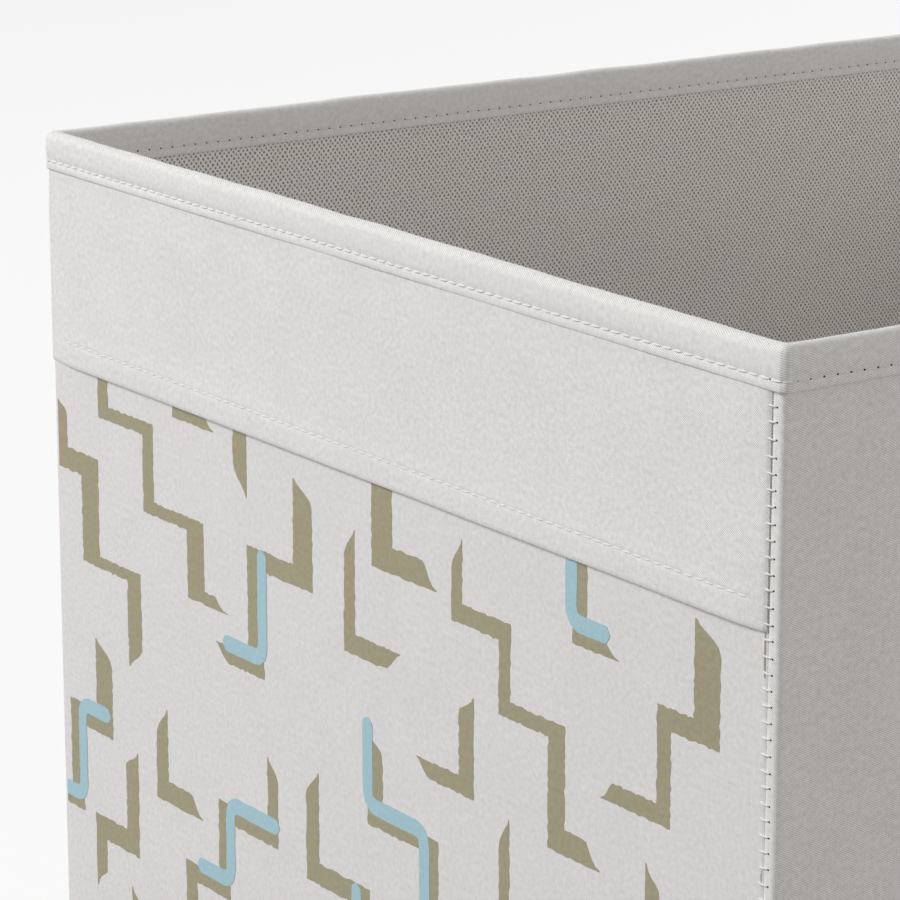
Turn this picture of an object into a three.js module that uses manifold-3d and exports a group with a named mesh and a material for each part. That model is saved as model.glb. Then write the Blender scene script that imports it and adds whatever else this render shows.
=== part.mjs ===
// Foldable fabric storage bin: an open-topped box of four stiffened cloth walls, a zipped-in
// floor and a hand-hold band across each end. Millimetres, +Z up, the front faces -Y, and the
// origin is the middle of the footprint on the surface the bin stands on.
//
// Each wall is a sandwich of outer cloth, board and lining, closed at the top by a folded
// binding. All the layers of a wall are bars with mitred ends, so that the walls can turn about
// the corners of the bin when it is folded flat.

import * as THREE from 'three';
import { mergeVertices } from 'three/addons/utils/BufferGeometryUtils.js';
import Module from 'manifold-3d';

const wasm = await Module();
wasm.setup();

// ---------------------------------------------------------------- driving dimensions
const WIDTH = 330; // left to right, over the bindings
const DEPTH = 380; // front to back, over the hand-hold bands
const HEIGHT = 330;

const CLOTH = 0.6; // outer cloth, lining and tapes
const BOARD = 1.6; // stiffener in a wall
const LAYER_GAP = 0.2; // between the layers of a wall
const MITRE_GAP = 0.25; // each layer ends this far short of the corner's mitre line
const SEAM_GAP = 0.3; // between pieces that lie edge to edge

const BINDING_HEIGHT = 11; // the binding's legs, down from the rim
const BAND_HEIGHT = 55.5; // hand-hold band, from the binding down
const BAND_THICKNESS = 1.2; // cloth folded double
const BAND_START = 1; // the band starts this far from the corner where the cloth turns
const SEAM_EDGE = 4; // edge of the next panel, turned over the corner and sewn down

const BASE_HEIGHT = 5; // the whole floor, cloth to lining
const BASE_BOARD = 3;
const BASE_CLEARANCE = 0.3; // under the walls that the floor passes below
const BASE_INSET = 8.6; // from a wall's outer face to the edge of the floor
const HINGE_CLEARANCE = 1.5; // from the hinged wall's inner face to the floor

const ZIP_TAPE_LEVEL = 2.0; // underside of the zip's tapes
const ZIP_TAPE_OVERLAP = 6; // tape sewn in under the floor's edge
const ZIP_TAPE_RISE = 9.7; // tape sewn in between a wall's cloth and lining
const COIL_WIDTH = 1.2;
const COIL_HEIGHT = 1.4;
const WALL_COIL_DEPTH = 4.4; // from a wall's outer face to the wall's half of the zip
const BASE_COIL_DEPTH = 6.8; // and to the floor's half
const SLIDER_LENGTH = 9;
const SLIDER_PLATE = 0.5;
const ZIP_END = 150; // the zip stops this far right of the middle, at the front and the back
const ZIP_STOP = 2;
const SLIDER_AT = 142; // along the back edge, where the zip ends closed
const PULL_LENGTH = 16;
const PULL_THICKNESS = 0.5;
const PULL_CLEARANCE = 0.1; // under the pull, as it lies beneath the slider
const EAR = 0.45; // thickness of the slider's two ears, either side of the pull
const EAR_LENGTH = 2.4;
const POST_LENGTH = 4; // the slider's post, between the two coils
const POST_WIDTH = 0.6;
const WELD = 0.1; // the slider's pieces run into each other this far before they are joined
const WALL_CLEARANCE = 0.5; // from the slider to the wall it passes as the floor lifts
const ARC_STEPS = 10; // segments in a half circle of the rim

// ---------------------------------------------------------------- derived sizes
const BINDING_OUT = LAYER_GAP + CLOTH; // how far the binding stands proud of a wall
const BAND_OUT = LAYER_GAP + BAND_THICKNESS;
const HALF_X = WIDTH / 2 - BINDING_OUT; // outer face of the side walls
const HALF_Y = DEPTH / 2 - BAND_OUT; // outer face of the end walls
const BOARD_AT = CLOTH + LAYER_GAP;
const LINING_AT = BOARD_AT + BOARD + LAYER_GAP;
const WALL = LINING_AT + CLOTH; // thickness of a whole wall
const RIM_RADIUS = WALL / 2 + BINDING_OUT; // the binding is rounded over the wall's edge
const WALL_TOP = HEIGHT - RIM_RADIUS + 0.6; // just under the inside of the rounded binding
const WALL_BOTTOM = BASE_HEIGHT + BASE_CLEARANCE;
const BINDING_BOTTOM = HEIGHT - BINDING_HEIGHT;
const BASE_HALF_Y = HALF_Y - BASE_INSET;
const BASE_LEFT = -(HALF_X - BASE_INSET);
const BASE_RIGHT = HALF_X - WALL - HINGE_CLEARANCE;
const COIL_LEVEL = ZIP_TAPE_LEVEL + CLOTH / 2 - COIL_HEIGHT / 2;

// ---------------------------------------------------------------- materials
function cloth(color, roughness) {
  return new THREE.MeshStandardMaterial({ color, roughness, metalness: 0 });
}

const PRINTED = cloth(0xd4d2d0, 0.9);
const PLAIN = cloth(0xdad9d7, 0.9);
const LINING = cloth(0xb3aea9, 0.95);
const STIFFENER = cloth(0xa58f6f, 0.95);
const TAPE = cloth(0xcfcdca, 0.9);
const COIL = cloth(0xd8d6d2, 0.45);
const METAL = new THREE.MeshStandardMaterial({ color: 0xb9b9b6, roughness: 0.35, metalness: 1 });

const bin = new THREE.Group();

// ---------------------------------------------------------------- shapes
// A closed solid from its corner points and its flat faces, each a list of corner numbers.
function solidFromFaces(points, faces) {
  const geometry = new THREE.BufferGeometry();
  geometry.setAttribute('position', new THREE.Float32BufferAttribute(points.flat(), 3));
  geometry.setIndex(faces.flat());
  return geometry;
}

// A bar whose section is a profile of [depth, height] points, anticlockwise seen with depth to
// the right. It runs along X, and its ends may change with depth: start and end are functions.
function mitredBar(profile, start, end) {
  const count = profile.length;
  const near = profile.map(([depth, z]) => [start(depth), depth, z]);
  const far = profile.map(([depth, z]) => [end(depth), depth, z]);
  const faces = [];
  for (let i = 0; i < count; i += 1) {
    const next = (i + 1) % count;
    faces.push([i, count + next, next]);
    faces.push([i, count + i, count + next]);
  }
  const outline = profile.map(([depth, z]) => new THREE.Vector2(depth, z));
  for (const [a, b, c] of THREE.ShapeUtils.triangulateShape(outline, [])) {
    faces.push([a, b, c]);
    faces.push([count + a, count + c, count + b]);
  }
  return turnedOutwards(solidFromFaces([...near, ...far], faces));
}

// Flips every face of a closed solid if its volume comes out negative.
function turnedOutwards(geometry) {
  const at = geometry.getAttribute('position');
  const index = Array.from(geometry.getIndex().array);
  const [a, b, c] = [new THREE.Vector3(), new THREE.Vector3(), new THREE.Vector3()];
  let volume = 0;
  for (let i = 0; i < index.length; i += 3) {
    a.fromBufferAttribute(at, index[i]);
    b.fromBufferAttribute(at, index[i + 1]);
    c.fromBufferAttribute(at, index[i + 2]);
    volume += a.dot(b.cross(c));
  }
  if (volume < 0) {
    for (let i = 0; i < index.length; i += 3) {
      [index[i + 1], index[i + 2]] = [index[i + 2], index[i + 1]];
    }
    geometry.setIndex(index);
  }
  return geometry;
}

function rectangle(depth0, depth1, z0, z1) {
  return [[depth0, z0], [depth1, z0], [depth1, z1], [depth0, z1]];
}

// Half circle over the wall's edge, from its outer side to its inner side or back.
function rimArc(radius, inwards) {
  const points = [];
  for (let i = 0; i <= ARC_STEPS; i += 1) {
    const turn = (Math.PI * i) / ARC_STEPS;
    const across = inwards ? -Math.cos(turn) : Math.cos(turn);
    points.push([WALL / 2 + radius * across, HEIGHT - RIM_RADIUS + radius * Math.sin(turn)]);
  }
  return points;
}

// The binding's section: a strip folded over the rim, with one leg on each side of the wall.
function bindingProfile() {
  const inner = RIM_RADIUS - CLOTH;
  return [
    [WALL / 2 - inner, BINDING_BOTTOM],
    ...rimArc(inner, true),
    [WALL / 2 + inner, BINDING_BOTTOM],
    [WALL / 2 + RIM_RADIUS, BINDING_BOTTOM],
    ...rimArc(RIM_RADIUS, false),
    [WALL / 2 - RIM_RADIUS, BINDING_BOTTOM],
  ];
}

// The wall's half of the zip tape: down inside the wall's lower edge, then in under it.
function wallTapeProfile() {
  const depth = BOARD_AT + (BOARD - CLOTH) / 2;
  const reach = WALL_COIL_DEPTH - LAYER_GAP;
  return [
    [depth, ZIP_TAPE_LEVEL],
    [reach, ZIP_TAPE_LEVEL],
    [reach, ZIP_TAPE_LEVEL + CLOTH],
    [depth + CLOTH, ZIP_TAPE_LEVEL + CLOTH],
    [depth + CLOTH, WALL_BOTTOM + ZIP_TAPE_RISE],
    [depth, WALL_BOTTOM + ZIP_TAPE_RISE],
  ];
}

function wallCoilProfile() {
  const inner = WALL_COIL_DEPTH + COIL_WIDTH;
  return rectangle(WALL_COIL_DEPTH, inner, COIL_LEVEL, COIL_LEVEL + COIL_HEIGHT);
}

function box(x0, x1, y0, y1, z0, z1) {
  const geometry = new THREE.BoxGeometry(x1 - x0, y1 - y0, z1 - z0);
  geometry.translate((x0 + x1) / 2, (y0 + y1) / 2, (z0 + z1) / 2);
  return geometry;
}

// ---------------------------------------------------------------- joining with manifold
function toManifold(geometry) {
  const bare = geometry.clone();
  bare.deleteAttribute('normal');
  bare.deleteAttribute('uv');
  const merged = mergeVertices(bare);
  const mesh = new wasm.Mesh({
    numProp: 3,
    vertProperties: Float32Array.from(merged.getAttribute('position').array),
    triVerts: Uint32Array.from(merged.getIndex().array),
  });
  return new wasm.Manifold(mesh);
}

function fromManifold(solid) {
  const { vertProperties, triVerts } = solid.getMesh();
  const geometry = new THREE.BufferGeometry();
  geometry.setAttribute('position', new THREE.BufferAttribute(vertProperties, 3));
  geometry.setIndex(new THREE.BufferAttribute(triVerts, 1));
  return geometry;
}

function joined(geometries) {
  const solids = geometries.map(toManifold);
  return fromManifold(solids.reduce((all, one) => all.add(one)));
}

function add(parent, name, geometry, material) {
  geometry.computeVertexNormals();
  const mesh = new THREE.Mesh(geometry, material);
  mesh.name = name;
  parent.add(mesh);
}

// ---------------------------------------------------------------- walls
// In a wall's own group X runs to the right as seen from outside, and Y into the bin from the
// wall's outer face. The group then turns and moves the wall to its side of the bin.
const WALLS = [
  { side: 'front', turn: 0, half: HALF_X, away: HALF_Y, zipped: true, band: true },
  { side: 'right', turn: 1, half: HALF_Y, away: HALF_X, zipped: false, band: false },
  { side: 'rear', turn: 2, half: HALF_X, away: HALF_Y, zipped: true, band: true },
  { side: 'left', turn: 3, half: HALF_Y, away: HALF_X, zipped: true, band: false },
];

function addWall({ side, turn, half, away, zipped, band }) {
  const wall = new THREE.Group();
  wall.rotation.z = (turn * Math.PI) / 2;
  wall.position.set(away * Math.sin(wall.rotation.z), -away * Math.cos(wall.rotation.z), 0);
  bin.add(wall);

  const left = (depth) => -(half - depth - MITRE_GAP);
  const right = (depth) => half - depth - MITRE_GAP;
  const atSeam = () => half - SEAM_EDGE - SEAM_GAP;
  const bottom = zipped ? WALL_BOTTOM : 0;
  const boardBottom = zipped ? WALL_BOTTOM + ZIP_TAPE_RISE + SEAM_GAP : SEAM_GAP;

  const skin = rectangle(0, CLOTH, bottom, WALL_TOP);
  const board = rectangle(BOARD_AT, BOARD_AT + BOARD, boardBottom, WALL_TOP);
  const lining = rectangle(LINING_AT, WALL, bottom, WALL_TOP);
  const outerCloth = band ? PRINTED : PLAIN;

  add(wall, `${side}_outer_fabric`, mitredBar(skin, left, atSeam), outerCloth);
  add(wall, `${side}_seam_edge`, mitredBar(skin, () => half - SEAM_EDGE, right), outerCloth);
  add(wall, `${side}_board`, mitredBar(board, left, right), STIFFENER);
  add(wall, `${side}_lining`, mitredBar(lining, left, right), LINING);
  add(wall, `${side}_rim_binding`, mitredBar(bindingProfile(), left, right), PLAIN);
  if (zipped) {
    const coilLeft = side === 'rear' ? () => -ZIP_END : left;
    const coilRight = side === 'front' ? () => ZIP_END : right;
    add(wall, `${side}_zip_tape`, mitredBar(wallTapeProfile(), left, right), TAPE);
    add(wall, `${side}_zip_coil`, mitredBar(wallCoilProfile(), coilLeft, coilRight), COIL);
  }
  if (band) {
    const bandTop = BINDING_BOTTOM - SEAM_GAP;
    const strip = rectangle(-BAND_OUT, -LAYER_GAP, BINDING_BOTTOM - BAND_HEIGHT, bandTop);
    add(wall, `${side}_handle_band`, mitredBar(strip, () => BAND_START - half, atSeam), PLAIN);
  }
}

WALLS.forEach(addWall);

// ---------------------------------------------------------------- floor
function addBase() {
  const boardInset = ZIP_TAPE_OVERLAP;
  const lining = CLOTH + LAYER_GAP + BASE_BOARD + LAYER_GAP;
  const sheet = (z0, z1) => box(BASE_LEFT, BASE_RIGHT, -BASE_HALF_Y, BASE_HALF_Y, z0, z1);
  const board = box(
    BASE_LEFT + boardInset,
    BASE_RIGHT - SEAM_GAP,
    -BASE_HALF_Y + boardInset,
    BASE_HALF_Y - boardInset,
    CLOTH + LAYER_GAP,
    CLOTH + LAYER_GAP + BASE_BOARD,
  );
  add(bin, 'base_outer_fabric', sheet(0, CLOTH), PLAIN);
  add(bin, 'base_board', board, STIFFENER);
  add(bin, 'base_lining', sheet(lining, BASE_HEIGHT), LINING);
}

// A flat strip along the left, front and back edges of the floor, open at the hinged side.
// The strip lies between two distances from the outer faces of the walls.
function threeSidedStrip(depth0, depth1, xEnd, z0, z1) {
  const outline = new THREE.Shape();
  outline.moveTo(xEnd, -(HALF_Y - depth0));
  outline.lineTo(-(HALF_X - depth0), -(HALF_Y - depth0));
  outline.lineTo(-(HALF_X - depth0), HALF_Y - depth0);
  outline.lineTo(xEnd, HALF_Y - depth0);
  outline.lineTo(xEnd, HALF_Y - depth1);
  outline.lineTo(-(HALF_X - depth1), HALF_Y - depth1);
  outline.lineTo(-(HALF_X - depth1), -(HALF_Y - depth1));
  outline.lineTo(xEnd, -(HALF_Y - depth1));
  outline.closePath();
  const geometry = new THREE.ExtrudeGeometry(outline, { depth: z1 - z0, bevelEnabled: false });
  geometry.translate(0, 0, z0);
  return geometry;
}

function addBaseZip() {
  const tapeFrom = BASE_COIL_DEPTH + COIL_WIDTH + LAYER_GAP;
  const tapeTo = BASE_INSET + ZIP_TAPE_OVERLAP - SEAM_GAP;
  const tapeTop = ZIP_TAPE_LEVEL + CLOTH;
  const tape = threeSidedStrip(tapeFrom, tapeTo, BASE_RIGHT - SEAM_GAP, ZIP_TAPE_LEVEL, tapeTop);
  const coil = threeSidedStrip(
    BASE_COIL_DEPTH,
    BASE_COIL_DEPTH + COIL_WIDTH,
    ZIP_END - SEAM_GAP,
    COIL_LEVEL,
    COIL_LEVEL + COIL_HEIGHT,
  );
  add(bin, 'base_zip_tape', tape, TAPE);
  add(bin, 'base_zip_coil', coil, COIL);

  for (const [name, side] of [['zip_start_stop', -1], ['zip_end_stop', 1]]) {
    const outer = side * (HALF_Y - BASE_COIL_DEPTH);
    const inner = side * (HALF_Y - BASE_COIL_DEPTH - COIL_WIDTH);
    const [y0, y1] = [Math.min(outer, inner), Math.max(outer, inner)];
    const top = COIL_LEVEL + COIL_HEIGHT;
    add(bin, name, box(ZIP_END, ZIP_END + ZIP_STOP, y0, y1, COIL_LEVEL, top), METAL);
  }
}

// The slider runs on the back edge: two plates joined by a post between the two coils, and two
// ears below that hold the pull.
const SLIDER_OUTER_Y = HALF_Y - WALL - WALL_CLEARANCE;
const SLIDER_INNER_Y = HALF_Y - BASE_COIL_DEPTH - COIL_WIDTH - SEAM_GAP;
const PULL_AXIS_Z = PULL_CLEARANCE + PULL_THICKNESS / 2;

function addSlider() {
  const x0 = SLIDER_AT - SLIDER_LENGTH / 2;
  const x1 = SLIDER_AT + SLIDER_LENGTH / 2;
  const [ear0, ear1] = [SLIDER_AT - EAR_LENGTH / 2, SLIDER_AT + EAR_LENGTH / 2];
  const lowerTop = COIL_LEVEL - SEAM_GAP;
  const upperBottom = COIL_LEVEL + COIL_HEIGHT + SEAM_GAP;
  const postMiddle = HALF_Y - (WALL_COIL_DEPTH + COIL_WIDTH + BASE_COIL_DEPTH) / 2;
  const [post0, post1] = [postMiddle - POST_WIDTH / 2, postMiddle + POST_WIDTH / 2];
  const pieces = [
    box(x0, x1, SLIDER_INNER_Y, SLIDER_OUTER_Y, lowerTop - SLIDER_PLATE, lowerTop),
    box(x0, x1, SLIDER_INNER_Y, SLIDER_OUTER_Y, upperBottom, upperBottom + SLIDER_PLATE),
    box(x1 - POST_LENGTH, x1, post0, post1, lowerTop - WELD, upperBottom + WELD),
  ];
  for (const y of [SLIDER_INNER_Y, SLIDER_OUTER_Y - EAR]) {
    pieces.push(box(ear0, ear1, y, y + EAR, PULL_CLEARANCE, lowerTop - WELD));
  }
  add(bin, 'zip_slider', joined(pieces), METAL);
}

function addPull() {
  const halfWidth = (SLIDER_OUTER_Y - SLIDER_INNER_Y) / 2 - EAR - SEAM_GAP / 2;
  const middle = (SLIDER_OUTER_Y + SLIDER_INNER_Y) / 2;
  const nose = PULL_THICKNESS / 2;
  const outline = new THREE.Shape();
  outline.moveTo(SLIDER_AT + nose, -halfWidth);
  outline.lineTo(SLIDER_AT + nose, halfWidth);
  outline.lineTo(SLIDER_AT - PULL_LENGTH + halfWidth, halfWidth);
  outline.absarc(SLIDER_AT - PULL_LENGTH + halfWidth, 0, halfWidth, Math.PI / 2, Math.PI * 1.5, false);
  outline.closePath();
  const settings = { depth: PULL_THICKNESS, bevelEnabled: false, curveSegments: 8 };
  const geometry = new THREE.ExtrudeGeometry(outline, settings);
  geometry.translate(0, middle, PULL_AXIS_Z - PULL_THICKNESS / 2);
  add(bin, 'zip_pull', geometry, METAL);
}

addBase();
addBaseZip();
addSlider();
addPull();

export default bin;
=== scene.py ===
# %% [markdown]
# # A foldable fabric storage bin
# The bin is a box of four stiffened cloth walls. Each wall is a board between an outer cloth
# and a lining, with a folded binding sewn over the rim. A band across each end is sewn in at
# the corners and makes a hand-hold. The floor zips in on three sides, so the bin folds flat.
# The frame below is the working model: its boards, joints and sizes are fixed, and everything
# soft is made here around it.

# %% Load the frame
import math
import random

import bpy
import numpy as np
from mathutils import Matrix, Vector, noise


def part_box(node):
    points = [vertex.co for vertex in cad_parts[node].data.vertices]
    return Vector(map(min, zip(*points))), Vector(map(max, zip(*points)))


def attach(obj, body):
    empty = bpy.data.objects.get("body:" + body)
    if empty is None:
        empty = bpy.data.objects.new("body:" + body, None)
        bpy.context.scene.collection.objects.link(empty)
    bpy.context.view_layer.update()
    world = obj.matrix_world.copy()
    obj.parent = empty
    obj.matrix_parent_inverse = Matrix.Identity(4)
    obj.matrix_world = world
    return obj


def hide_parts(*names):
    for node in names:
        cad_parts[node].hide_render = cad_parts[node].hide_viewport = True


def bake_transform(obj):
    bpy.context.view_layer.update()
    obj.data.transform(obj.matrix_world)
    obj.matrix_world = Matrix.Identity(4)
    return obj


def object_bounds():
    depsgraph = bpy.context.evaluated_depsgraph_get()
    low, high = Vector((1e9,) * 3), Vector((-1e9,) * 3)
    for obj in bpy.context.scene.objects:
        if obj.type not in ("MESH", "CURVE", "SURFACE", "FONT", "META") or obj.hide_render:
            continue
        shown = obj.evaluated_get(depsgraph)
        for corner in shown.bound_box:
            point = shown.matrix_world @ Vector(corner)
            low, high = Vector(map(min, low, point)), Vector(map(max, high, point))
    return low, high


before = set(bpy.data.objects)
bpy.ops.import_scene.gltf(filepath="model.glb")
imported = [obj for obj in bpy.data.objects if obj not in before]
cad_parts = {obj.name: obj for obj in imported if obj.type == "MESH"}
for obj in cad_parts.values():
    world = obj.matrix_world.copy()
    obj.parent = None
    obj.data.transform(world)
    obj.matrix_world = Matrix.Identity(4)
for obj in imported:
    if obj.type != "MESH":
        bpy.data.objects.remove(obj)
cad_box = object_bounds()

MM = 0.001
random.seed(7)

# %% [markdown]
# ## Sizes
# Everything is worked out from a few boxes of the frame. A wall is described in its own
# coordinates: s runs to the right as seen from outside, u is the depth into the bin from the
# wall's outer face, and z is the height. One function turns these into the bin's own frame.

# %% Sizes from the frame
outer_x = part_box("right_outer_fabric")[1][0]
outer_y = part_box("rear_outer_fabric")[1][1]
rim_z = cad_box[1][2]
hem_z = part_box("front_rim_binding")[0][2]      # lower edge of the binding
band_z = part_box("front_handle_band")[0][2]     # lower edge of the hand-hold band
wall_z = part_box("front_outer_fabric")[0][2]    # lower edge of a zipped wall
wall_depth = outer_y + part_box("front_lining")[1][1]   # from a wall's outer face to its lining

CLOTH = 0.5 * MM
SEAM = 4.0 * MM           # width of the edge turned over each corner
CORNER = 8.0 * MM         # a wall counts as straight up to here from its corner
STITCH = 3.85 * MM        # stitch length of every seam
BAND_SEAM = 7.0 * MM      # the band's hem is stitched this far above its lower edge
LEG_OUT = 0.95 * MM       # the binding stands this far off the wall, outside
LEG_IN = 0.8 * MM         # and inside
BAND_OUT = 0.75 * MM      # the band's face stands this far off the wall

SIDES = {
    "front": (0, outer_x, outer_y),
    "right": (1, outer_y, outer_x),
    "rear": (2, outer_x, outer_y),
    "left": (3, outer_y, outer_x),
}
BANDED = ("front", "rear")
print("wall", round(wall_depth * 1000, 2), "mm thick, rim at", round(rim_z * 1000, 1), "mm")

# %% Wall coordinates
def to_frame(side, s, u, z):
    """A point of a wall, in the bin's frame."""
    turns, _, away = SIDES[side]
    x, y = s, u - away
    for _ in range(turns):
        x, y = -y, x
    return Vector((x, y, z))


def direction(side, s, u):
    """Unit vector in the bin's frame from a direction (s, u) of a wall."""
    x, y = s, u
    for _ in range(SIDES[side][0]):
        x, y = -y, x
    return Vector((x, y, 0)).normalized()


def along(half, station, u):
    """The (s, depth) of a station on the layer at depth u."""
    kind, end, value = station
    if kind == "line":
        return value, u
    if kind == "arc":
        r = max(1.5 * MM - u, 0.8 * MM)
        return end * (half - u - r + r * math.sin(value)), u + r - r * math.cos(value)
    return end * (half - u), value


def steps(start, stop, step):
    return np.linspace(start, stop, max(2, int(round(abs(stop - start) / step)) + 1))


def stations(half, left, right, step):
    """Stations from left to right along a wall.

    An end is "mitre", which stops half way round the corner, or a list of distances from
    the corner: on the left these lie on the neighbouring wall, on the right on this one.
    """
    row = []
    if left == "mitre":
        row += [("arc", -1, a) for a in np.linspace(math.pi / 4, 0, 5)]
    else:
        row += [("next", -1, d) for d in left]
        row += [("arc", -1, a) for a in np.linspace(math.pi / 2, 0, 9)]
    stop = CORNER if right == "mitre" else max(CORNER, right[0])
    row += [("line", 0, s) for s in steps(-(half - CORNER), half - stop, step)]
    if right == "mitre":
        row += [("arc", 1, a) for a in np.linspace(0, math.pi / 4, 5)]
    else:
        row += [("line", 0, half - d) for d in right if d < stop]
    return row


def path(side, station, u, z):
    s, depth = along(SIDES[side][1], station, u)
    return to_frame(side, s, depth, z)


def lengths(points):
    """Running length along a row of points."""
    total = [0.0]
    for a, b in zip(points, points[1:]):
        total.append(total[-1] + (b - a).length)
    return total


# Which two walls a corner joins, the outer corner, the two ways along the walls, and where the
# cloth bends: distances from the corner, below zero on the first wall and above on the second.
CORNERS = {
    "front": ("front_wall", "left_wall", (-outer_x, -outer_y), (1, 0), (0, 1), (-2.6, 2.6)),
    "right": ("right_wall", "front_wall", (outer_x, -outer_y), (0, 1), (-1, 0), (-0.3, 3.6)),
    "left": ("left_wall", "rear_wall", (-outer_x, outer_y), (0, -1), (1, 0), (-0.3, 3.6)),
}


def carry(piece, side):
    """Let a wall's piece ride with its wall where the corner at its left is open; elsewhere only fix its
    place in the bin's frame.
    """
    if side not in CORNERS:
        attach(piece, side + "_wall")
        return
    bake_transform(piece)


def wave(point, size, amount, seed=0.0):
    """Smooth, repeatable unevenness of cloth, in metres."""
    return amount * noise.noise(Vector(point) / size + Vector((seed, seed * 1.7, seed * 0.3)))


print("wall coordinates ready; front corner at", tuple(round(v, 4) for v in to_frame("front", outer_x, 0, 0)))

# %% [markdown]
# ## Camera, light and floor
# A long lens looks from the front right, a little above the rim. A soft light from the front
# left is the key. A warmer one stands low on the right, so it lights the right wall but barely
# reaches the inside, and a third is behind. The floor is plain and pale:
# most of its brightness is shown only to the camera, so that it doesn't flood the side faces.

# %% Camera
CAMERA_AT = Vector((0.8206, -0.7313, 0.5267))
TURN, TILT, ROLL = math.radians(55.332), math.radians(14.551), math.radians(-0.05)
forward = Vector((-math.sin(TURN) * math.cos(TILT), math.cos(TURN) * math.cos(TILT), -math.sin(TILT)))
level = Vector((math.cos(TURN), math.sin(TURN), 0))
upright = level.cross(forward)
camera_x = level * math.cos(ROLL) + upright * math.sin(ROLL)
camera_y = upright * math.cos(ROLL) - level * math.sin(ROLL)
bpy.ops.object.camera_add()
camera = bpy.context.object
camera.name = "camera"
camera.matrix_world = Matrix((camera_x, camera_y, -forward)).transposed().to_4x4()
camera.location = CAMERA_AT
camera.data.lens = 160.2
camera.data.sensor_width = 36
bpy.context.scene.camera = camera
print("camera", tuple(round(v, 3) for v in CAMERA_AT))


# %% Lights
def area_light(name, at, target, size, power, colour=(1, 1, 1)):
    bpy.ops.object.light_add(type="AREA", location=at)
    light = bpy.context.object
    light.name = name
    light.data.size = size
    light.data.energy = power
    light.data.color = colour
    light.rotation_euler = (Vector(target) - Vector(at)).to_track_quat("-Z", "Y").to_euler()
    return light


area_light("key_light", (-1.6, -2.6, 2.0), (0, 0, 0.2), 1.6, 95)
area_light("side_light", (2.3, 0.2, 0.45), (0.165, 0, 0.25), 1.2, 13.5, (1.0, 0.95, 0.91))
area_light("back_light", (-1.4, 2.8, 2.0), (0, 0, 0.2), 1.6, 38)
world = bpy.data.worlds.new("studio")
world.use_nodes = True
world.node_tree.nodes["Background"].inputs["Color"].default_value = (1, 1, 1, 1)
world.node_tree.nodes["Background"].inputs["Strength"].default_value = 0.32
bpy.context.scene.world = world
bpy.context.scene.view_settings.view_transform = "Standard"


# %% Colours
def linear(r, g, b):
    """Linear colour from ordinary 0-255 screen values."""
    def one(v):
        v = v / 255
        return v / 12.92 if v <= 0.04045 else ((v + 0.055) / 1.055) ** 2.4
    return (one(r), one(g), one(b), 1)


# %% Floor
bpy.ops.mesh.primitive_plane_add(size=16, location=(0, 0, 0))
floor = bpy.context.object
floor.name = "studio_floor"
floor_paint = bpy.data.materials.new("studio_floor")
floor_paint.use_nodes = True
floor_tree = floor_paint.node_tree
floor_shader = floor_tree.nodes["Principled BSDF"]
floor_shader.inputs["Base Color"].default_value = (0.25, 0.25, 0.25, 1)
floor_shader.inputs["Roughness"].default_value = 0.95
floor_shader.inputs["Specular IOR Level"].default_value = 0.1
glow = floor_tree.nodes.new("ShaderNodeLightPath")
floor_tree.links.new(glow.outputs["Is Camera Ray"], floor_shader.inputs["Emission Color"])
floor_shader.inputs["Emission Strength"].default_value = 0.71
floor.data.materials.append(floor_paint)

# %% [markdown]
# ## Cloth as a shader
# Every cloth here is a fine twill, except the lining, which is a bonded cloth with a pattern
# of pressed dots. Both patterns are node groups that read the piece's own UV map, which is
# laid out in metres along the cloth, so the weave turns the corners with it. A group gives a
# height for the bump and a shade for the colour.

# %% Node helpers
def new_group(name, inputs, outputs):
    group = bpy.data.node_groups.new(name, "ShaderNodeTree")
    for label, kind, value in inputs:
        socket = group.interface.new_socket(label, in_out="INPUT", socket_type=kind)
        if value is not None:
            socket.default_value = value
    for label, kind in outputs:
        group.interface.new_socket(label, in_out="OUTPUT", socket_type=kind)
    return group, group.nodes.new("NodeGroupInput"), group.nodes.new("NodeGroupOutput")


def maths(tree, operation, *values):
    node = tree.nodes.new("ShaderNodeMath")
    node.operation = operation
    for i, value in enumerate(values):
        if isinstance(value, (int, float)):
            node.inputs[i].default_value = value
        else:
            tree.links.new(value, node.inputs[i])
    return node.outputs[0]


def noise_value(tree, vector, scale, detail=2.0):
    node = tree.nodes.new("ShaderNodeTexNoise")
    node.inputs["Scale"].default_value = scale
    node.inputs["Detail"].default_value = detail
    tree.links.new(vector, node.inputs["Vector"])
    return node.outputs["Fac"]


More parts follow.
